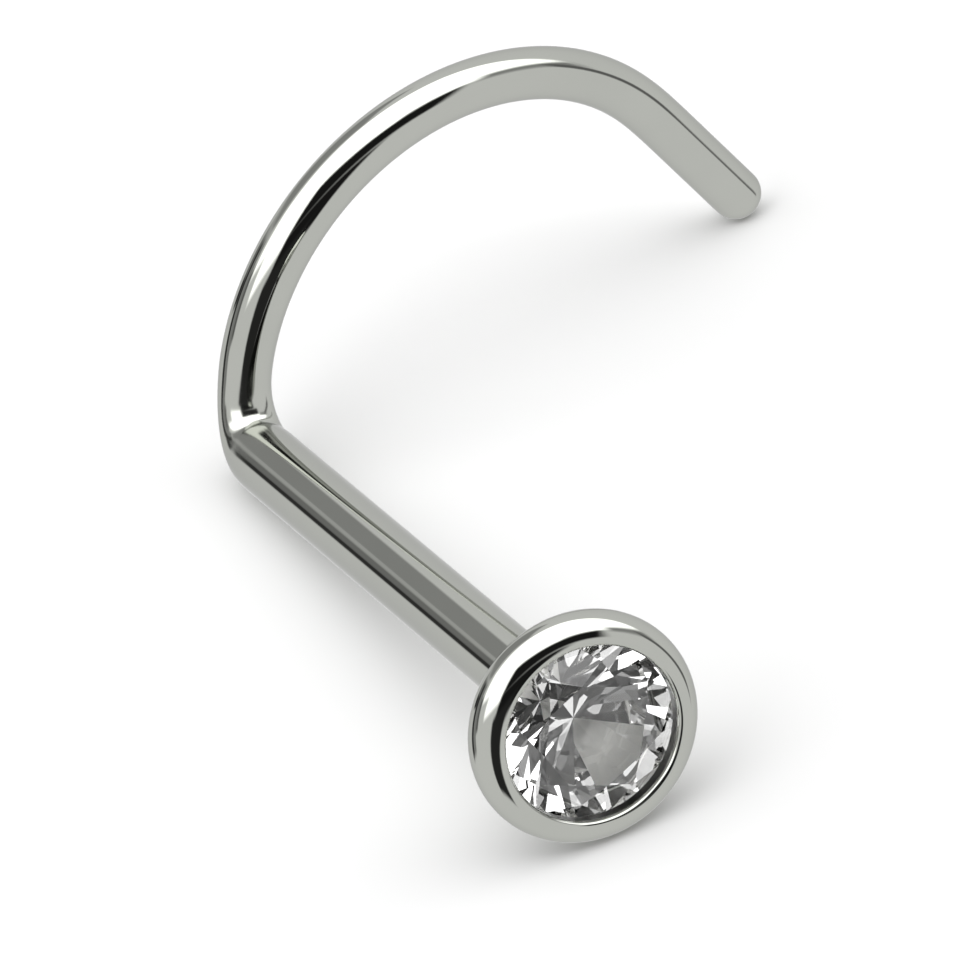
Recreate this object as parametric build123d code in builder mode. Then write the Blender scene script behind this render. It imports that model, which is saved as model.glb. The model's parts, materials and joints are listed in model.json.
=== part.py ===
"""Nose screw stud: a round stone in a bezel head, on a post whose wire bends into an open hook.

Millimetres and degrees, +Z up. The stud lies as it does on a table, on three places: the rim of its
head, the outside of its elbow and the tip of its hook. The head faces -Y, the post runs back from it
and down to the elbow, and the hook stands over the table and curls round towards +X. The origin is on
the table, under the middle of the whole stud.
"""

import os
from math import acos, asin, atan2, cos, degrees, hypot, radians, sin, tan

from build123d import *

# ---- Wire ----
post_diameter = 0.8  # 20 gauge, the part that sits in the piercing
hook_diameter = 0.6  # the wire is drawn thinner past the elbow
post_length = 9.2  # from the widest ring of the head to the start of the elbow
elbow_radius = 0.55  # on the wire's centreline, as all bend radii here
elbow_turn = 102.0
hook_twist = 11.0  # how far the hook leans away from the head as it leaves the elbow
hook_radius = 3.05
hook_turn = 140.0
tail_length = 1.93  # straight end of the hook, up to the middle of its round tip

# ---- Bezel head: radii from the post's axis, levels from the head's widest ring ----
rim_radius = 1.29  # the head's widest ring
rim_round = 0.30  # outer shoulder of the rim
lip_round = 0.06  # inner edge of the rim, rubbed over the stone
opening_radius = 0.98
flank_lean = 32.0  # how far the cup's straight flank narrows towards the back
back_level = -1.06
back_round = 0.14
solder_round = 0.12  # solder round the foot of the post
setting_gap = 0.03  # between the stone and its seat, all round

# ---- Stone: a round brilliant, its proportions as shares of its diameter ----
stone_diameter = 2.12
girdle_level = 0.02  # top of the girdle
girdle_share = 0.024
table_share = 0.56
crown_angle = 34.3
pavilion_angle = 40.8
star_share = 0.5  # how far the stars reach from the table towards the girdle
lower_half_share = 0.77  # how far the lower halves reach from the girdle towards the culet
stone_turn = 0.0  # how far the stone is turned in its setting
main_facets = 8

# ---- Where the head stands on the table ----
head_x = -2.83
head_y = -5.37

# ---- Sizes worked out from those above ----
post_radius = post_diameter / 2
wire_radius = hook_diameter / 2
girdle_radius = stone_diameter / 2
table_radius = table_share * girdle_radius
facet_step = 360 / main_facets
girdle_foot = girdle_level - girdle_share * stone_diameter
crown_rise = tan(radians(crown_angle))
pavilion_fall = tan(radians(pavilion_angle))
table_level = girdle_level + (girdle_radius - table_radius) * crown_rise
culet_level = girdle_foot - girdle_radius * pavilion_fall
shoulder_radius = rim_radius - rim_round
lip_lean = degrees(acos((opening_radius + lip_round - shoulder_radius) / (rim_round - lip_round)))

# The post falls from the head to the elbow by as much as the head's rim is wider than the post.
rim_lean = degrees(atan2(shoulder_radius, post_length))
post_fall = rim_lean + degrees(asin((rim_round - post_radius) / hypot(shoulder_radius, post_length)))
head_height = shoulder_radius * cos(radians(post_fall)) + rim_round

# The hook's tip as seen from where the elbow starts: along the post, towards the bend, and sideways.
hook_reach = hook_radius * sin(radians(hook_turn)) + tail_length * cos(radians(hook_turn))
hook_side = hook_radius * (1 - cos(radians(hook_turn))) + tail_length * sin(radians(hook_turn))
lean_out = elbow_radius + hook_side * sin(radians(hook_twist))
tip_along = lean_out * sin(radians(elbow_turn)) + hook_reach * cos(radians(elbow_turn))
tip_up = elbow_radius - lean_out * cos(radians(elbow_turn)) + hook_reach * sin(radians(elbow_turn))
tip_side = hook_side * cos(radians(hook_twist))

# The elbow rolls about the post until the tip too comes down on the table.
tip_rise = (wire_radius - post_radius) / cos(radians(post_fall)) + tip_along * tan(radians(post_fall))
elbow_roll = degrees(acos(tip_rise / hypot(tip_up, tip_side)) - atan2(tip_side, tip_up))

# ---- Directions, planes and the wire's path ----
post_direction = Vector(0, 1, 0).rotate(Axis.X, -post_fall)
facing = -post_direction
head_centre = Vector(head_x, head_y, head_height)
cup_plane = Plane(origin=head_centre, x_dir=(1, 0, 0), z_dir=Vector(1, 0, 0).cross(facing))
stone_plane = Plane(origin=head_centre, x_dir=(1, 0, 0), z_dir=facing)

elbow_start = head_centre + post_direction * post_length
straight_up = Vector(0, 0, 1).rotate(Axis.X, -post_fall)
bend_direction = straight_up.rotate(Axis((0, 0, 0), post_direction), elbow_roll)
elbow_axis = post_direction.cross(bend_direction)
elbow_plane = Plane(origin=elbow_start, x_dir=post_direction, z_dir=elbow_axis)
with BuildLine(elbow_plane) as elbow_path:
    JernArc(start=(0, 0), tangent=(1, 0), radius=elbow_radius, arc_size=elbow_turn)

hook_start = elbow_path.line @ 1
hook_direction = elbow_path.line % 1
curl_direction = elbow_axis.rotate(Axis((0, 0, 0), hook_direction), hook_twist)
hook_plane = Plane(origin=hook_start, x_dir=hook_direction, z_dir=hook_direction.cross(curl_direction))
with BuildLine(hook_plane) as hook_path:
    curl = JernArc(start=(0, 0), tangent=(1, 0), radius=hook_radius, arc_size=hook_turn)
    PolarLine(start=curl @ 1, length=tail_length, direction=curl % 1)


def on_shoulder(angle):
    """Point of the cup's section on the rim's outer shoulder: 0 is the widest ring, 90 faces forward."""
    return (
        shoulder_radius + rim_round * cos(radians(angle)),
        rim_round * sin(radians(angle)),
    )


def on_lip(angle):
    """Point of the cup's section on the rubbed-over lip: 180 faces the stone."""
    return (
        opening_radius + lip_round + lip_round * cos(radians(angle)),
        (rim_round - lip_round) * sin(radians(lip_lean)) + lip_round * sin(radians(angle)),
    )


def under_lip(radius):
    """Level of the lip's underside, clear of the crown."""
    crown_level = girdle_level + (girdle_radius - radius) * crown_rise
    return crown_level + setting_gap / cos(radians(crown_angle))


def on_seat(radius):
    """Level of the conical seat, clear of the pavilion."""
    pavilion_level = girdle_foot - (girdle_radius - radius) * pavilion_fall
    return pavilion_level - setting_gap / cos(radians(pavilion_angle))


# ---- The metal: head, post, elbow and hook, one soldered solid ----
pocket_radius = girdle_radius + setting_gap
flank_top = on_shoulder(-flank_lean)
back_corner = flank_top[0] - (flank_top[1] - back_level) * tan(radians(flank_lean))
solder_radius = post_radius + solder_round
solder_level = back_level - solder_round
solder_bow = solder_round * cos(radians(45))

with BuildPart() as nose_screw:
    with BuildSketch(cup_plane):
        with BuildLine():
            Polyline((post_radius, solder_level), (0, solder_level), (0, on_seat(0)))
            Polyline(
                (0, on_seat(0)),
                (pocket_radius, on_seat(pocket_radius)),
                (pocket_radius, under_lip(pocket_radius)),
                (opening_radius, under_lip(opening_radius)),
                on_lip(180),
            )
            ThreePointArc(on_lip(180), on_lip((180 + lip_lean) / 2), on_lip(lip_lean))
            ThreePointArc(on_shoulder(lip_lean), on_shoulder(0), flank_top)
            FilletPolyline(
                flank_top,
                (back_corner, back_level),
                (solder_radius, back_level),
                radius=back_round,
            )
            ThreePointArc(
                (solder_radius, back_level),
                (solder_radius - solder_bow, solder_level + solder_bow),
                (post_radius, solder_level),
            )
        make_face()
    revolve(axis=Axis(head_centre, facing))

    with BuildSketch(Plane(origin=elbow_start, z_dir=facing)):
        Circle(post_radius)
    extrude(amount=post_length + solder_level)

    with BuildSketch(Plane(origin=elbow_start, z_dir=post_direction)):
        Circle(post_radius)
    with BuildSketch(Plane(origin=hook_start, z_dir=hook_direction)):
        Circle(wire_radius)
    sweep(path=elbow_path.line, multisection=True)

    with BuildSketch(Plane(origin=hook_start, z_dir=hook_direction)):
        Circle(wire_radius)
    sweep(path=hook_path.line)
    with Locations(hook_path.line @ 1):
        Sphere(wire_radius)

nose_screw.part.label = "nose_screw"


# ---- The stone ----
def stone_point(step, radius, level):
    """Point of the stone, counted round in steps of one main facet."""
    turned = radians(stone_turn + step * facet_step)
    return stone_plane.from_local_coords(Vector(radius * cos(turned), radius * sin(turned), level))


def main_facet(step, level, slope):
    """Plane of a kite or a pavilion main: it meets the girdle at the given level, at the given slope."""
    touch = stone_point(step, girdle_radius, level)
    outward = (touch - stone_point(0, 0, level)).normalized()
    normal = outward * sin(radians(slope)) + facing * cos(radians(slope))
    return Plane(origin=touch, z_dir=normal)


def side_facet(first, second, third):
    """Plane through three points of the stone, with its normal pointing away from the stone."""
    normal = (second - first).cross(third - first)
    if normal.dot(first - head_centre) < 0:
        normal = -normal
    return Plane(origin=first, z_dir=normal)


half_step = cos(radians(facet_step / 2))
table_flat = table_radius * half_step
star_radius = table_flat + star_share * (girdle_radius - table_flat)
star_level = girdle_level + (girdle_radius - star_radius * half_step) * crown_rise
lower_radius = (1 - lower_half_share) * girdle_radius
lower_level = culet_level + lower_radius * half_step * pavilion_fall

facets = []
for step in range(main_facets):
    star_tip = stone_point(step + 0.5, star_radius, star_level)
    upper_middle = stone_point(step + 0.5, girdle_radius, girdle_level)
    lower_tip = stone_point(step + 0.5, lower_radius, lower_level)
    lower_middle = stone_point(step + 0.5, girdle_radius, girdle_foot)
    table_corners = [stone_point(side, table_radius, table_level) for side in (step, step + 1)]
    facets.append(main_facet(step, girdle_level, crown_angle))
    facets.append(main_facet(step, girdle_foot, 180 - pavilion_angle))
    facets.append(side_facet(star_tip, *table_corners))
    for side in (step, step + 1):
        upper_side = stone_point(side, girdle_radius, girdle_level)
        lower_side = stone_point(side, girdle_radius, girdle_foot)
        facets.append(side_facet(star_tip, upper_side, upper_middle))
        facets.append(side_facet(lower_tip, lower_side, lower_middle))

with BuildPart() as stone:
    with BuildSketch(stone_plane.offset(culet_level)):
        Circle(girdle_radius)
    extrude(amount=table_level - culet_level)
    for facet in facets:
        split(bisect_by=facet, keep=Keep.BOTTOM)

stone.part.label = "stone"

os.makedirs("parts", exist_ok=True)
export_step(nose_screw.part, "parts/nose_screw.step")
export_step(stone.part, "parts/stone.step")
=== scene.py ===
"""Nose screw stud: a polished steel wire, its bezel head and the round stone, in a small white studio.

The file is laid out as a Blender add-on and is run as a script. Sizes are in metres, in the frame of the
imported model: the stud lies on z = 0, its head faces -Y and its hook curls round towards +X.
"""

import json
import math

import bpy
import numpy as np
from mathutils import Matrix, Vector


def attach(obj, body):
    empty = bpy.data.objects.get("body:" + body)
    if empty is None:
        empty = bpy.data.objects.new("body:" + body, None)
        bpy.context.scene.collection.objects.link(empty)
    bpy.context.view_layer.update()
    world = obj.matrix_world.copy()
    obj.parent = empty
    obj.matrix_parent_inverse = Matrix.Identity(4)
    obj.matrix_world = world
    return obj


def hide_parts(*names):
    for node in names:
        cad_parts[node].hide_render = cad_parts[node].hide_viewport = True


bl_info = {
    "name": "Nose screw stud",
    "version": (1, 0, 0),
    "blender": (4, 5, 0),
    "location": "View3D > Sidebar > Nose stud",
    "description": "Builds a polished nose screw stud with a bezel-set round stone, and a studio round it",
    "category": "Add Mesh",
}

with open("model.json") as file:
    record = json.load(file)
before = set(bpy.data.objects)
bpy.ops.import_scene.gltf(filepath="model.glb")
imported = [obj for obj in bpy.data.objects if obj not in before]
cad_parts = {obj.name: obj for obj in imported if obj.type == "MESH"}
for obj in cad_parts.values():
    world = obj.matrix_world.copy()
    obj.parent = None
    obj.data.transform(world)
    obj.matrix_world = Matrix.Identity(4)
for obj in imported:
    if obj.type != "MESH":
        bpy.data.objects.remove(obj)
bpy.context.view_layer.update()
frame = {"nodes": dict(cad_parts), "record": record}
MOUNTS = {mount["name"]: mount for mount in frame["record"]["mounts"]}
BODY = "root"
MM = 0.001


# ---------------------------------------------------------------------------------------------------
# Settings
# ---------------------------------------------------------------------------------------------------


def length(name, description, millimetres):
    """A length property, given in millimetres and kept in metres."""
    return bpy.props.FloatProperty(
        name=name,
        description=description,
        default=millimetres * MM,
        precision=5,
        subtype="DISTANCE",
        unit="LENGTH",
    )


def angle(name, description, degrees):
    """An angle property, given in degrees and kept in radians."""
    return bpy.props.FloatProperty(
        name=name,
        description=description,
        default=math.radians(degrees),
        subtype="ANGLE",
        unit="ROTATION",
    )


def colour(name, description, red, green, blue):
    """A linear colour property."""
    return bpy.props.FloatVectorProperty(
        name=name,
        description=description,
        default=(red, green, blue),
        subtype="COLOR",
        min=0.0,
        max=1.0,
    )


def share(name, description, value):
    """A plain factor from 0 to 1."""
    return bpy.props.FloatProperty(
        name=name, description=description, default=value, min=0.0, max=1.0, subtype="FACTOR"
    )


class WireSettings(bpy.types.PropertyGroup):
    """Sizes of the post, the elbow and the hook, which are one wire."""

    post_radius: length("Post radius", "Half the thickness of the wire in the piercing", 0.4)
    hook_radius: length("Hook wire radius", "Half the thickness of the wire past the elbow", 0.3)
    straight: length("Straight post", "From the solder to the start of the elbow", 8.02)
    elbow_bend: length("Elbow bend", "Radius of the elbow on the wire's centreline", 0.463)
    elbow_turn: angle("Elbow turn", "How far the elbow turns the wire", 102)
    hook_bend: length("Hook bend", "Radius of the hook on the wire's centreline", 3.07)
    hook_turn: angle("Hook turn", "How far the hook goes round", 140)
    hook_twist: angle("Hook twist", "How far the hook leans away from the head", 13)
    tail: length("Tail", "Straight end of the hook, up to the middle of its round tip", 1.93)
    ease_in: length("Ease in", "How far the elbow's bend takes to set in", 0.3)
    ease_out: length("Ease out", "How far each bend takes to end", 1.6)
    taper: length("Taper", "How far the wire takes to thin down in the elbow", 1.5)
    step: length("Step", "Between rings of the bent wire", 0.025)
    sides: bpy.props.IntProperty(
        name="Sides", description="Facets round the wire", default=96, min=8
    )


class HeadSettings(bpy.types.PropertyGroup):
    """Sizes of the bezel cup, as radii from the post's axis and levels from the widest ring."""

    rim: length("Rim", "Radius of the widest ring of the head", 1.29)
    shoulder: length("Shoulder", "Rounding of the outside of the rim", 0.30)
    lip: length("Lip", "Rounding of the inner edge, rubbed over the stone", 0.06)
    opening: length("Opening", "Radius of the opening that the stone shows through", 0.98)
    flank_lean: angle("Flank lean", "How far the cup narrows towards the back", 32)
    depth: length("Depth", "From the widest ring to the flat back", 1.06)
    back_round: length("Back edge", "Rounding of the edge of the back", 0.14)
    solder: length("Solder", "Rounding of the solder at the foot of the post", 0.12)
    girdle: length("Girdle", "Radius of the stone at its widest", 1.06)
    girdle_level: length("Girdle level", "Height of the stone's girdle over the widest ring", 0.02)
    girdle_height: length("Girdle height", "Thickness of the stone's girdle", 0.051)
    gap: length("Setting gap", "Between the stone and its seat", 0.03)
    crown: angle("Crown angle", "Slope of the lip's underside", 34.3)
    pavilion: angle("Pavilion angle", "Slope of the conical seat", 40.8)
    sides: bpy.props.IntProperty(
        name="Sides", description="Facets round the head", default=192, min=16
    )


class FinishSettings(bpy.types.PropertyGroup):
    """Colours and finish of the steel and the stone."""

    steel: colour("Steel", "Reflection of the polished steel", 0.49, 0.50, 0.465)
    steel_roughness: share("Steel roughness", "Blur of the steel's polish", 0.045)
    elbow_roughness: share("Elbow roughness", "Blur where pliers have held the wire", 0.15)
    polish_marks: share("Polish marks", "Depth of the faint polishing lines", 0.06)
    seat_level: share("Seat reflection", "Reflection of the satin seat under the stone", 0.85)
    stone: colour("Stone", "Colour of light that crosses the stone", 0.99, 0.99, 0.985)
    stone_ior: bpy.props.FloatProperty(
        name="Stone IOR", description="Refractive index of the stone", default=1.9
    )


class StageSettings(bpy.types.PropertyGroup):
    """The camera, the floor and the studio's light."""

    azimuth: angle("Camera azimuth", "Camera's place round the stud; 0 looks along +Y", -17.52)
    elevation: angle("Camera elevation", "Camera's height over the floor", 29.78)
    roll: angle("Camera roll", "How far the camera is rolled", -13.18)
    distance: length("Camera distance", "From the camera to the point that it looks at", 137.02)
    lens: bpy.props.FloatProperty(
        name="Lens", description="Focal length in millimetres", default=487.5, unit="CAMERA"
    )
    aim_across: length("Aim across", "From the head's middle, to the right in the view", -1.085)
    aim_up: length("Aim up", "From the head's middle, upwards in the view", 2.591)
    floor_size: length("Floor size", "Side of the floor", 3000.0)
    floor: colour("Floor", "Colour of the floor", 0.655, 0.655, 0.655)


# ---------------------------------------------------------------------------------------------------
# Where things are, from the frame
# ---------------------------------------------------------------------------------------------------


def post_axis():
    """Middle of the straight post and the direction from the head to the elbow."""
    mount = MOUNTS["post"]
    return Vector(mount["pos_m"]), Vector(mount["axis"]).normalized()


def head_centre(wire, head):
    """Middle of the head's widest ring, on the post's axis."""
    middle, direction = post_axis()
    return middle - direction * (wire.straight / 2 + head.solder + head.depth)


def elbow_place(wire):
    """A place inside the elbow, just over the end of the straight post."""
    middle, direction = post_axis()
    return middle + direction * wire.straight / 2 + Vector((0, 0, PLIERS_OVER_POST))


def rotated(vector, axis, turn):
    """The vector turned about an axis through the origin."""
    return Matrix.Rotation(turn, 3, axis) @ vector


# ---------------------------------------------------------------------------------------------------
# Materials
# ---------------------------------------------------------------------------------------------------


# Sizes of the clouds, lines and grains in the finishes.
POLISH_CLOUD_SIZE = 0.9 * MM
POLISH_LINE_SIZE = 0.04 * MM
POLISH_LINE_DEPTH = 0.002 * MM
SATIN_GRAIN_SIZE = 0.08 * MM
# Grain of the painted shade in the crevice under the lip.
PAINTED_SHADE_GRAIN_SIZE = 0.1 * MM
STONE_HAZE_SIZE = 0.5 * MM
FLOOR_GRAIN_SIZE = 2 * MM

# Nearly all of a noise lies in this range.
NOISE_RANGE = (0.3, 0.7)

# Darkest and lightest tone of each finish, as shares of its colour.
STEEL_TONES = (0.96, 1.04)
FLOOR_TONE = 0.995

# Sharpest and dullest polish, as shares of the steel's roughness, and roughness of the other finishes.
POLISH_SHARES = (0.7, 1.5)
SATIN_ROUGHNESS = (0.45, 0.6)
PAINTED_SHADE_ROUGHNESS = 0.35
FLOOR_ROUGHNESS = 0.5

# The stone is hazy only where its noise is in this range.
HAZE_RANGE = (0.45, 0.8)
HAZE_ROUGHNESS = 0.02

# How much of the light steel gives back at a glancing angle.
STEEL_EDGE = (0.7, 0.7, 0.7, 1)

# The pliers' marks are fullest within their core, fade out at their reach and lie over the post's axis.
PLIERS_CORE = 0.35 * MM
PLIERS_REACH = 0.9 * MM
PLIERS_OVER_POST = 0.45 * MM

# Darkest and lightest tones of the satin seat, as shares of its reflection.
SATIN_DARK = (0.92, 0.92, 0.9)
SATIN_LIGHT = (1, 1, 0.98)

# Darkest and lightest tones of the painted shade in the crevice under the lip.
PAINTED_SHADE_DARK = (0.02, 0.02, 0.018)
PAINTED_SHADE_LIGHT = (0.07, 0.07, 0.065)


class NodeTree:
    """A node tree that grows by one call for each node."""

    def __init__(self, tree):
        self.tree = tree
        tree.nodes.clear()

    def add(self, kind, inputs=(), **settings):
        """A new node. Inputs are (socket, value) pairs, and a value that is a socket is linked."""
        node = self.tree.nodes.new(kind)
        for name, value in settings.items():
            setattr(node, name, value)
        for socket, value in inputs:
            if isinstance(value, bpy.types.NodeSocket):
                self.tree.links.new(value, node.inputs[socket])
            else:
                node.inputs[socket].default_value = value
        return node

    def math(self, operation, first, second=0.0):
        """The result of one sum."""
        return self.add("ShaderNodeMath", [(0, first), (1, second)], operation=operation).outputs[0]

    def spread(self, value, from_low, from_high, to_low, to_high, curve="LINEAR"):
        """The value moved from one range to another."""
        inputs = [("Value", value), ("From Min", from_low), ("From Max", from_high)]
        inputs += [("To Min", to_low), ("To Max", to_high)]
        return self.add("ShaderNodeMapRange", inputs, interpolation_type=curve).outputs["Result"]

    def noise(self, place, size, detail):
        """Cloudy noise with features of about the given size."""
        inputs = [("Vector", place), ("Scale", 1 / size), ("Detail", detail)]
        return self.add("ShaderNodeTexNoise", inputs).outputs["Fac"]

    def tones(self, factor, first, second):
        """A colour that goes from the first tone to the second."""
        inputs = [("Factor", factor), ("A", (*first, 1)), ("B", (*second, 1))]
        return self.add("ShaderNodeMix", inputs, data_type="RGBA").outputs["Result"]

    def cover(self, kind, inputs):
        """The shader that covers the surface, joined to the material's output."""
        shader = self.add(kind, inputs)
        self.add("ShaderNodeOutputMaterial", [("Surface", shader.outputs["BSDF"])])


def new_material(name):
    """An empty node material, its nodes and the place on the piece that they start from."""
    material = bpy.data.materials.new(name)
    material.use_nodes = True
    nodes = NodeTree(material.node_tree)
    return material, nodes, nodes.add("ShaderNodeTexCoord").outputs["Object"]


def steel_material(context):
    """Polished steel, with faint clouds in its polish and fine marks left by the polishing cloth."""
    if "steel_polish" in bpy.data.materials:
        return bpy.data.materials["steel_polish"]
    finish = context.scene.stud_finish
    material, nodes, place = new_material("steel_polish")
    clouds = nodes.noise(place, POLISH_CLOUD_SIZE, 4.0)
    marks = nodes.noise(place, POLISH_LINE_SIZE, 3.0)
    dark, light = ([part * tone for part in finish.steel] for tone in STEEL_TONES)
    tint = nodes.tones(clouds, dark, light)

    # The polish is uneven, and duller where pliers have held the wire at the elbow.
    sharp, dull = (finish.steel_roughness * part for part in POLISH_SHARES)
    blur = nodes.spread(clouds, *NOISE_RANGE, sharp, dull)
    ends = [(0, place), (1, elbow_place(context.scene.stud_wire))]
    from_elbow = nodes.add("ShaderNodeVectorMath", ends, operation="DISTANCE").outputs["Value"]
    held = nodes.spread(
        from_elbow, PLIERS_REACH, PLIERS_CORE, 0.0, finish.elbow_roughness, "SMOOTHSTEP"
    )
    bump = nodes.add(
        "ShaderNodeBump",
        [("Height", marks), ("Strength", finish.polish_marks), ("Distance", POLISH_LINE_DEPTH)],
    )
    nodes.cover(
        "ShaderNodeBsdfPrincipled",
        [
            ("Base Color", tint),
            ("Metallic", 1.0),
            ("Roughness", nodes.math("MAXIMUM", blur, held)),
            ("Specular Tint", STEEL_EDGE),
            ("Normal", bump.outputs["Normal"]),
        ],
    )
    return material


def seat_material(context):
    """Satin steel, as the cutter leaves the seat under the stone."""
    material, nodes, place = new_material("steel_satin")
    grain = nodes.noise(place, SATIN_GRAIN_SIZE, 4.0)
    level = context.scene.stud_finish.seat_level
    dark, light = ([level * part for part in tone] for tone in (SATIN_DARK, SATIN_LIGHT))
    tint = nodes.tones(grain, dark, light)
    blur = nodes.spread(grain, *NOISE_RANGE, *SATIN_ROUGHNESS)
    nodes.cover("ShaderNodeBsdfPrincipled", [("Base Color", tint), ("Metallic", 1.0), ("Roughness", blur)])
    return material


def painted_shade_material():
    """Steel under the lip, painted nearly black as the shade in the crevice between the stone and the
    bezel, with a duller polish.
    """
    material, nodes, place = new_material("steel_painted_shade")
    grain = nodes.noise(place, PAINTED_SHADE_GRAIN_SIZE, 3.0)
    tint = nodes.tones(grain, PAINTED_SHADE_DARK, PAINTED_SHADE_LIGHT)
    nodes.cover(
        "ShaderNodeBsdfPrincipled",
        [("Base Color", tint), ("Metallic", 1.0), ("Roughness", PAINTED_SHADE_ROUGHNESS)],
    )
    return material


def stone_material(context):
    """Clear polished stone, with the faintest haze where its facets have been handled."""
    finish = context.scene.stud_finish
    material, nodes, place = new_material("stone_clear")
    haze = nodes.noise(place, STONE_HAZE_SIZE, 3.0)
    nodes.cover(
        "ShaderNodeBsdfPrincipled",
        [
            ("Base Color", (*finish.stone, 1)),
            ("Roughness", nodes.spread(haze, *HAZE_RANGE, 0.0, HAZE_ROUGHNESS)),
            ("IOR", finish.stone_ior),
            ("Transmission Weight", 1.0),
        ],
    )
    return material


def floor_material(stage):
    """Pale matte card with a hardly visible grain."""
    material, nodes, place = new_material("floor_card")
    grain = nodes.noise(place, FLOOR_GRAIN_SIZE, 3.0)
    tint = nodes.tones(grain, [part * FLOOR_TONE for part in stage.floor], stage.floor)
    nodes.cover("ShaderNodeBsdfDiffuse", [("Color", tint), ("Roughness", FLOOR_ROUGHNESS)])
    return material


# ---------------------------------------------------------------------------------------------------
# Meshes
# ---------------------------------------------------------------------------------------------------


SHARP_EDGE = math.radians(35)


def mesh_object(name, points, faces, material, node):
    """A smooth-shaded piece with its hard edges marked, riding on the body and standing for a CAD node."""
    mesh = bpy.data.meshes.new(name)
    mesh.from_pydata([tuple(point) for point in points], [], faces)
    mesh.validate()
    mesh.update()
    mesh.shade_smooth()
    mesh.set_sharp_from_angle(angle=SHARP_EDGE)
    mesh.materials.append(material)
    piece = bpy.data.objects.new(name, mesh)
    bpy.context.scene.collection.objects.link(piece)
    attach(piece, BODY)
    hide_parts(node)
    return piece


def ring_faces(rings, sides, first=0):
    """Quads between neighbouring rings of points."""
    faces = []
    for ring in range(rings - 1):
        for side in range(sides):
            low = first + ring * sides + side
            low_next = first + ring * sides + (side + 1) % sides
            faces.append((low, low_next, low_next + sides, low + sides))
    return faces


def swept_tube(places, directions, radii, ends, sides):
    """Points and faces of a closed round tube along a path, with no twist.

    Each end closes on its own point.
    """
    points = []
    across = directions[0].orthogonal().normalized()
    for place, direction, radius in zip(places, directions, radii):
        across = (across - direction * across.dot(direction)).normalized()
        other = direction.cross(across)
        for side in range(sides):
            turn = math.tau * side / sides
            points.append(place + (across * math.cos(turn) + other * math.sin(turn)) * radius)
    faces = ring_faces(len(places), sides)
    first_end, last_end = len(points), len(points) + 1
    last_ring = first_end - sides
    for side in range(sides):
        after = (side + 1) % sides
        faces.append((first_end, after, side))
        faces.append((last_end, last_ring + side, last_ring + after))
    return points + list(ends), faces


def turned_solid(outline, centre, forward, sides):
    """Points and faces of a solid turned round the forward axis.

    The outline's points are (radius, level), and its two ends lie on the axis.
    """
    right = Vector((1, 0, 0))
    up = right.cross(forward).normalized()
    points = [centre + forward * outline[0][1]]
    for radius, level in outline[1:-1]:
        for side in range(sides):
            turn = math.tau * side / sides
            points.append(
                centre + forward * level + (right * math.cos(turn) + up * math.sin(turn)) * radius
            )
    last = len(points)
    points.append(centre + forward * outline[-1][1])
    rings = len(outline) - 2
    faces = ring_faces(rings, sides, first=1)
    for side in range(sides):
        after = (side + 1) % sides
        faces.append((0, 1 + after, 1 + side))
        low = 1 + (rings - 1) * sides
        faces.append((last, low + side, low + after))
    return points, faces


def arc_points(centre, radius, start, stop, count):
    """Points of an outline on an arc, in degrees from straight outward towards the front."""
    return [
        (centre[0] + radius * math.cos(turn), centre[1] + radius * math.sin(turn))
        for turn in np.radians(np.linspace(start, stop, count))
    ]


# ---------------------------------------------------------------------------------------------------
# The wire
# ---------------------------------------------------------------------------------------------------


# Rings of points along the straight parts and the round tip.
TAIL_RINGS = 16
TIP_RINGS = 24
POST_RINGS = 60


def eased(distances, middle, width):
    """0 before the middle and 1 after it, with a smooth step of the given width."""
    step = np.clip((distances - middle) / width + 0.5, 0, 1)
    return step**3 * (10 - 15 * step + 6 * step**2)


def bent_wire(wire):
    """Distances from the elbow's start, with places and directions along the bent wire.

    The wire comes in along X, the elbow turns it towards Y and the hook curls it towards Z. Each bend
    eases into the next, as wire does that is bent with round pliers.
    """
    elbow_end = wire.elbow_bend * wire.elbow_turn
    hook_end = elbow_end + wire.hook_bend * wire.hook_turn
    start, end = -wire.ease_in / 2, hook_end + wire.ease_out / 2
    count = math.ceil((end - start) / wire.step)
    step = (end - start) / count
    distances = start + step * (np.arange(count) + 0.5)
    past_elbow = eased(distances, elbow_end, wire.ease_out)
    elbow = eased(distances, 0, wire.ease_in) * (1 - past_elbow)
    hook = past_elbow * (1 - eased(distances, hook_end, wire.ease_out))
    elbow *= wire.elbow_turn / elbow.sum()
    hook *= wire.hook_turn / hook.sum()

    place, along, towards = Vector((start, 0, 0)), Vector((1, 0, 0)), Vector((0, 1, 0))
    places, directions = [place.copy()], [along]
    for elbow_part, hook_part in zip(elbow, hook):
        across = along.cross(towards)
        turn = across * (elbow_part - hook_part * math.sin(wire.hook_twist))
        turn -= towards * hook_part * math.cos(wire.hook_twist)
        place += along * step / 2
        along, towards = rotated(along, turn, turn.length), rotated(towards, turn, turn.length)
        place += along * step / 2
        places.append(place.copy())
        directions.append(along)
    return np.linspace(start, end, count + 1), places, directions


def wire_roll(wire, tip):
    """How far the elbow is rolled about the post so that the hook's tip comes down on the floor."""
    _, direction = post_axis()
    fall = -math.asin(direction.z)
    rise = (wire.hook_radius - wire.post_radius) / math.cos(fall) + tip.x * math.tan(fall)
    return math.acos(rise / math.hypot(tip.y, tip.z)) - math.atan2(tip.z, tip.y)


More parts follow.
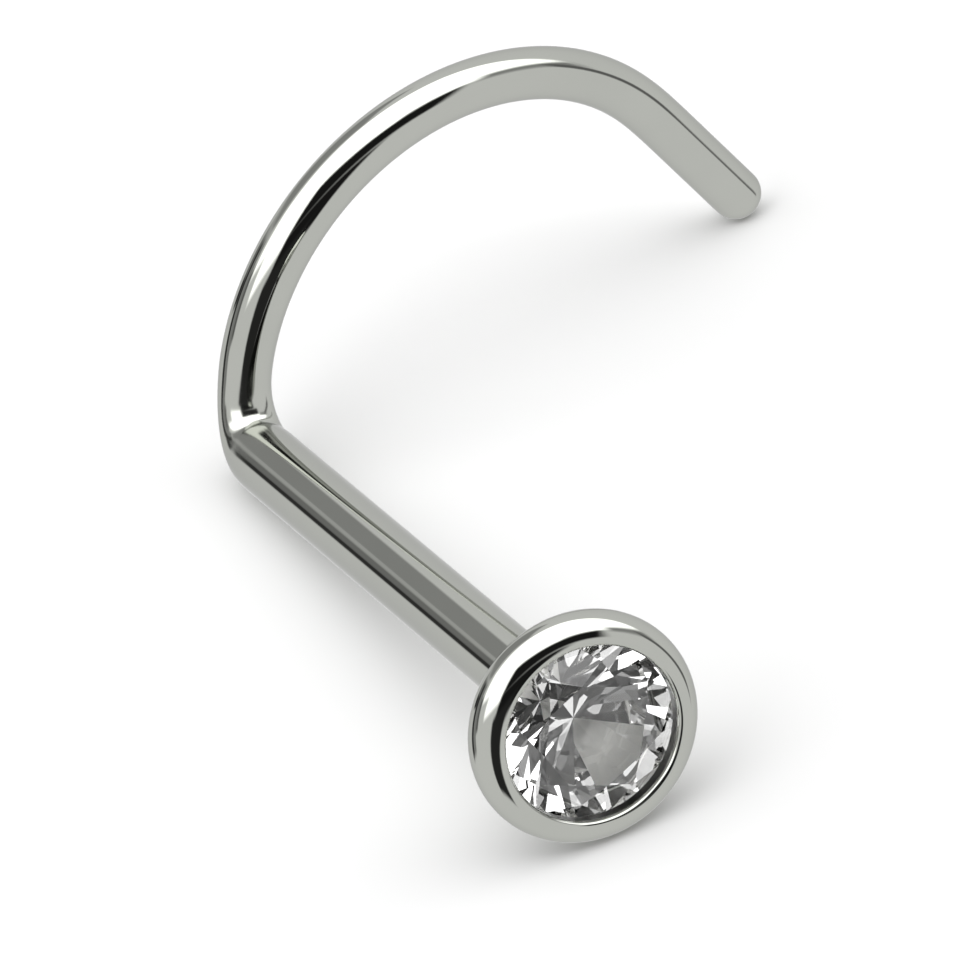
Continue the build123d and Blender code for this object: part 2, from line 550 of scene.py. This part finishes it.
def wire_path(wire, head):
    """Places, directions and radii of the wire from inside the head to its round tip, and its two ends."""
    distances, places, directions = bent_wire(wire)
    elbow_middle = wire.elbow_bend * wire.elbow_turn / 2
    thinned = eased(distances, elbow_middle, wire.taper)
    radii = (wire.post_radius + (wire.hook_radius - wire.post_radius) * thinned).tolist()

    tail_start, tail_along = places[-1], directions[-1]
    tail = wire.tail - wire.ease_out / 2
    for step in np.linspace(0, tail, TAIL_RINGS)[1:]:
        places.append(tail_start + tail_along * float(step))
        directions.append(tail_along)
        radii.append(wire.hook_radius)
    tip = places[-1]
    for turn in np.radians(np.linspace(0, 90, TIP_RINGS)[1:-1]):
        places.append(tip + tail_along * wire.hook_radius * math.sin(turn))
        directions.append(tail_along)
        radii.append(wire.hook_radius * math.cos(turn))
    places.append(tip + tail_along * wire.hook_radius)

    middle, along = post_axis()
    upright = Vector((1, 0, 0)).cross(along)
    towards = rotated(upright, along, wire_roll(wire, tip))
    elbow_start = middle + along * wire.straight / 2
    turned = Matrix((along, towards, along.cross(towards))).transposed()
    places = [elbow_start + turned @ place for place in places]
    directions = [turned @ direction for direction in directions]

    foot = middle - along * (wire.straight / 2 + head.solder)
    post = [foot.lerp(places[0], float(step)) for step in np.linspace(0, 1, POST_RINGS)[:-1]]
    ends = (foot, places.pop())
    places = post + places
    directions = [along] * len(post) + directions
    radii = [wire.post_radius] * len(post) + radii
    return places, directions, radii, ends


class STUD_OT_bend_wire(bpy.types.Operator):
    """Build the post, the elbow and the hook as one smooth wire"""

    bl_idname = "stud.bend_wire"
    bl_label = "Bend the wire"

    def execute(self, context):
        wire = context.scene.stud_wire
        places, directions, radii, ends = wire_path(wire, context.scene.stud_head)
        points, faces = swept_tube(places, directions, radii, ends, wire.sides)
        mesh_object("wire", points, faces, steel_material(context), "nose_screw")
        return {"FINISHED"}


# ---------------------------------------------------------------------------------------------------
# The head
# ---------------------------------------------------------------------------------------------------


# Points of the outline on its straight seat and on each of its arcs.
SEAT_POINTS = 12
LIP_POINTS = 28
SHOULDER_POINTS = 40
CORNER_POINTS = 16


def head_outline(wire, head):
    """Outline of the cup from the bottom of its seat, over the rim and down the flank to the solder.

    Also the number of the outline's point at the top of the pocket that holds the girdle.
    """
    shoulder = head.rim - head.shoulder
    lip_centre = head.opening + head.lip
    lip_lean = math.degrees(math.acos((lip_centre - shoulder) / (head.shoulder - head.lip)))
    lip_level = (head.shoulder - head.lip) * math.sin(math.radians(lip_lean))
    pocket = head.girdle + head.gap
    foot = head.girdle_level - head.girdle_height
    lean = math.degrees(head.flank_lean)

    def under_lip(radius):
        crown = head.girdle_level + (head.girdle - radius) * math.tan(head.crown)
        return crown + head.gap / math.cos(head.crown)

    def on_seat(radius):
        pavilion = foot - (head.girdle - radius) * math.tan(head.pavilion)
        return pavilion - head.gap / math.cos(head.pavilion)

    outline = [(0, on_seat(0))]
    outline += [(radius, on_seat(radius)) for radius in np.linspace(0, pocket, SEAT_POINTS)[1:]]
    pocket_top = len(outline)
    outline += [(pocket, under_lip(pocket)), (head.opening, under_lip(head.opening))]
    outline += arc_points((lip_centre, lip_level), head.lip, 180, lip_lean, LIP_POINTS)
    outline += arc_points((shoulder, 0), head.shoulder, lip_lean, -lean, SHOULDER_POINTS)[1:]

    # The flank runs down to a rounded corner with the flat back.
    flank_top = outline[-1]
    corner = flank_top[0] - (flank_top[1] + head.depth) * math.tan(head.flank_lean)
    tangent = head.back_round * math.tan(math.radians(90 - lean) / 2)
    back_centre = (corner - tangent, -head.depth + head.back_round)
    outline += arc_points(back_centre, head.back_round, -lean, -90, CORNER_POINTS)

    # The solder rises from the back to the post in a hollow curve.
    solder_centre = (wire.post_radius + head.solder, -head.depth - head.solder)
    outline += arc_points(solder_centre, head.solder, 90, 180, CORNER_POINTS)
    outline.append((0, solder_centre[1]))
    return outline, pocket_top


class STUD_OT_turn_head(bpy.types.Operator):
    """Build the bezel cup with its rounded rim, its seat and the solder at the post"""

    bl_idname = "stud.turn_head"
    bl_label = "Turn the head"

    def execute(self, context):
        wire = context.scene.stud_wire
        head = context.scene.stud_head
        _, along = post_axis()
        outline, pocket_top = head_outline(wire, head)
        points, faces = turned_solid(outline, head_centre(wire, head), -along, head.sides)
        cup = mesh_object(
            "bezel_head", points, faces, steel_material(context), "nose_screw"
        )
        # The seat and the pocket's wall are satin. The lip's underside and its inner wall get the painted
        # shade of the crevice.
        cup.data.materials.append(seat_material(context))
        cup.data.materials.append(painted_shade_material())
        seat_end, painted_shade_end = pocket_top * head.sides, (pocket_top + 2) * head.sides
        for face in cup.data.polygons:
            if max(face.vertices) <= seat_end:
                face.material_index = 1
            # Faces up to here get the painted shade.
            elif max(face.vertices) <= painted_shade_end:
                face.material_index = 2
        return {"FINISHED"}


# ---------------------------------------------------------------------------------------------------
# The stone
# ---------------------------------------------------------------------------------------------------


class STUD_OT_polish_stone(bpy.types.Operator):
    """Give the cut stone its clear material"""

    bl_idname = "stud.polish_stone"
    bl_label = "Polish the stone"

    def execute(self, context):
        frame["nodes"]["stone"].material_slots[0].material = stone_material(context)
        return {"FINISHED"}


# ---------------------------------------------------------------------------------------------------
# The stage
# ---------------------------------------------------------------------------------------------------


# Screens of the studio, as the stud sees them: degrees across and up from the camera, each edge's
# blur, and brightness. A screen's top and bottom climb by slope for each degree to the right. Later
# screens stand in front of earlier ones. All are far away, so every part of the stud sees them alike.
STUDIO_WALLS = 0.92
SCREEN_VALUES = ("left", "right", "bottom", "top", "slope", "blur", "light")
SCREENS = (
    # name, left, right, bottom, top, slope, blur, light
    ("softbox above", -86, 88, 26, 100, 0.0, 4, 2.6),
    ("far softbox on the left", -86, -60, 7, 32, 0.08, 4, 2.6),
    ("softbox on the left", -64, -14, -10, 32, 0.0, 4, 2.6),
    ("softbox's step", -17, 22, 19, 32, 0.0, 4, 2.6),
    ("grey wall behind", -146, -97, 24, 62, 0.0, 3, 0.40),
    ("light gap behind", -134, -119, 21, 27, 0.0, 1.5, 0.60),
    ("grey shelf behind", -134, -119, 12, 21.5, 0.0, 2, 0.26),
    ("dark shelf behind", -134, -119, 6.5, 13, 0.0, 1.5, 0.05),
    ("dark stand", -120, -107, -22, 22, 0.0, 3, 0.05),
    ("grey beside the stand", -107, -96, -24, 22, 0.0, 3, 0.33),
    ("second stand", -97, -87, -12, 12, 0.0, 3, 0.17),
    ("grey under the softbox", 52, 90, 21, 35, 0.0, 5, 0.38),
    ("dark arm on the right", 76, 107, 20, 32, -0.96, 3, 0.18),
    ("camera", -20, 47, -8, 18, 0.12, 4, 0.015),
    ("camera's neck", -20, 35, -30, -4, 0.0, 4, 0.015),
    ("camera's stand", -27, 19, -66, -20, 0.0, 4, 0.03),
)

# How near and how far the camera sees, in metres.
CLIP_NEAR, CLIP_FAR = 0.01, 10.0

# How often light is followed on its way through the stone and between the mirrors of the steel.
STONE_BOUNCES = 32
MIRROR_BOUNCES = 16


def camera_axes(stage):
    """The camera's right, up and back directions."""
    azimuth, elevation, roll = stage.azimuth, stage.elevation, stage.roll
    back = Vector(
        (
            math.sin(azimuth) * math.cos(elevation),
            -math.cos(azimuth) * math.cos(elevation),
            math.sin(elevation),
        )
    )
    level = Vector((0, 0, 1)).cross(back).normalized()
    upright = back.cross(level)
    right = level * math.cos(roll) + upright * math.sin(roll)
    return right, back.cross(right), back


def add_camera(context):
    """The camera, with a long lens and everything in focus."""
    stage = context.scene.stud_stage
    right, up, back = camera_axes(stage)
    target = head_centre(context.scene.stud_wire, context.scene.stud_head)
    target += right * stage.aim_across + up * stage.aim_up
    data = bpy.data.cameras.new("camera")
    data.lens = stage.lens
    data.clip_start, data.clip_end = CLIP_NEAR, CLIP_FAR
    camera = bpy.data.objects.new("camera", data)
    turned = Matrix((right, up, back)).transposed().to_4x4()
    camera.matrix_world = Matrix.Translation(target + back * stage.distance) @ turned
    context.scene.collection.objects.link(camera)
    context.scene.camera = camera


def add_floor(context):
    """A wide pale floor, which catches shadows and stays out of the metal's reflections."""
    stage = context.scene.stud_stage
    half = stage.floor_size / 2
    mesh = bpy.data.meshes.new("floor")
    corners = [(-half, -half, 0), (half, -half, 0), (half, half, 0), (-half, half, 0)]
    mesh.from_pydata(corners, [], [(0, 1, 2, 3)])
    mesh.materials.append(floor_material(stage))
    floor = bpy.data.objects.new("floor", mesh)
    floor.visible_glossy = False
    floor.visible_transmission = False
    context.scene.collection.objects.link(floor)


def screen_group():
    """A node group that puts one soft-edged screen in front of what is behind it."""
    tree = bpy.data.node_groups.new("screen", "ShaderNodeTree")
    for name in ("across", "up", *SCREEN_VALUES, "behind"):
        tree.interface.new_socket(name, in_out="INPUT", socket_type="NodeSocketFloat")
    tree.interface.new_socket("light", in_out="OUTPUT", socket_type="NodeSocketFloat")
    nodes = NodeTree(tree)
    given = nodes.add("NodeGroupInput").outputs
    from_left = nodes.math("SUBTRACT", given["across"], given["left"])
    slanted = nodes.math("SUBTRACT", given["up"], nodes.math("MULTIPLY", given["slope"], from_left))

    def past(value, edge):
        """0 before an edge and 1 after it, with a soft step."""
        low = nodes.math("SUBTRACT", edge, given["blur"])
        high = nodes.math("ADD", edge, given["blur"])
        return nodes.spread(value, low, high, 0.0, 1.0, "SMOOTHSTEP")

    def between(value, low, high):
        """1 between two edges and 0 outside them."""
        return nodes.math("SUBTRACT", past(value, low), past(value, high))

    beside = between(given["across"], given["left"], given["right"])
    inside = nodes.math("MULTIPLY", beside, between(slanted, given["bottom"], given["top"]))
    change = nodes.math("SUBTRACT", given["light"], given["behind"])
    result = nodes.math("ADD", given["behind"], nodes.math("MULTIPLY", inside, change))
    nodes.add("NodeGroupOutput", [("light", result)])
    return tree


def add_studio(context):
    """The light round the stud: pale walls with soft boxes and dark screens.

    The camera itself sees plain white.
    """
    right, up, back = camera_axes(context.scene.stud_stage)
    world = bpy.data.worlds.new("studio")
    world.use_nodes = True
    context.scene.world = world
    nodes = NodeTree(world.node_tree)
    direction = nodes.add("ShaderNodeTexCoord").outputs["Generated"]

    def part_along(axis):
        """How far the direction goes along an axis."""
        inputs = [(0, direction), (1, axis)]
        return nodes.add("ShaderNodeVectorMath", inputs, operation="DOT_PRODUCT").outputs["Value"]

    across = nodes.math("ARCTAN2", part_along(right), part_along(back))
    across = nodes.math("MULTIPLY", across, math.degrees(1))
    height = nodes.math("MULTIPLY", nodes.math("ARCSINE", part_along(up)), math.degrees(1))

    screen = screen_group()
    light = STUDIO_WALLS
    for name, *values in SCREENS:
        inputs = [("across", across), ("up", height), ("behind", light), *zip(SCREEN_VALUES, values)]
        light = nodes.add("ShaderNodeGroup", inputs, node_tree=screen, label=name).outputs["light"]

    seen = nodes.add("ShaderNodeLightPath").outputs["Is Camera Ray"]
    shown = nodes.add("ShaderNodeMix", [("Factor", seen), ("A", light), ("B", 1.0)])
    background = nodes.add(
        "ShaderNodeBackground", [("Color", (1, 1, 1, 1)), ("Strength", shown.outputs["Result"])]
    )
    nodes.add("ShaderNodeOutputWorld", [("Surface", background.outputs["Background"])])


def set_view(scene):
    """Plain colours, clean shadows, and enough bounces for light to cross the stone."""
    scene.view_settings.view_transform = "Standard"
    scene.cycles.use_denoising = True
    scene.cycles.max_bounces = STONE_BOUNCES
    scene.cycles.transmission_bounces = STONE_BOUNCES
    scene.cycles.glossy_bounces = MIRROR_BOUNCES
    scene.cycles.blur_glossy = 0.0


class STUD_OT_set_stage(bpy.types.Operator):
    """Set up the floor, the studio's light and the camera"""

    bl_idname = "stud.set_stage"
    bl_label = "Set the stage"

    def execute(self, context):
        add_floor(context)
        add_studio(context)
        add_camera(context)
        set_view(context.scene)
        return {"FINISHED"}


# ---------------------------------------------------------------------------------------------------
# The add-on
# ---------------------------------------------------------------------------------------------------


SETTINGS = {
    "stud_wire": WireSettings,
    "stud_head": HeadSettings,
    "stud_finish": FinishSettings,
    "stud_stage": StageSettings,
}
OPERATORS = (STUD_OT_bend_wire, STUD_OT_turn_head, STUD_OT_polish_stone, STUD_OT_set_stage)


class STUD_PT_panel(bpy.types.Panel):
    """Sizes, colours and steps of the nose stud"""

    bl_idname = "STUD_PT_panel"
    bl_label = "Nose stud"
    bl_space_type = "VIEW_3D"
    bl_region_type = "UI"
    bl_category = "Nose stud"

    def draw(self, context):
        for name, settings in SETTINGS.items():
            box = self.layout.box()
            box.label(text=name.removeprefix("stud_").capitalize())
            for field in settings.__annotations__:
                box.prop(getattr(context.scene, name), field)
        for operator in OPERATORS:
            self.layout.operator(operator.bl_idname)


CLASSES = (*SETTINGS.values(), *OPERATORS, STUD_PT_panel)


def register():
    for each in CLASSES:
        bpy.utils.register_class(each)
    for name, settings in SETTINGS.items():
        setattr(bpy.types.Scene, name, bpy.props.PointerProperty(type=settings))


def unregister():
    for name in SETTINGS:
        delattr(bpy.types.Scene, name)
    for each in reversed(CLASSES):
        bpy.utils.unregister_class(each)


def main():
    register()
    bpy.ops.stud.bend_wire()
    bpy.ops.stud.turn_head()
    bpy.ops.stud.polish_stone()
    bpy.ops.stud.set_stage()


if __name__ == "__main__":
    main()
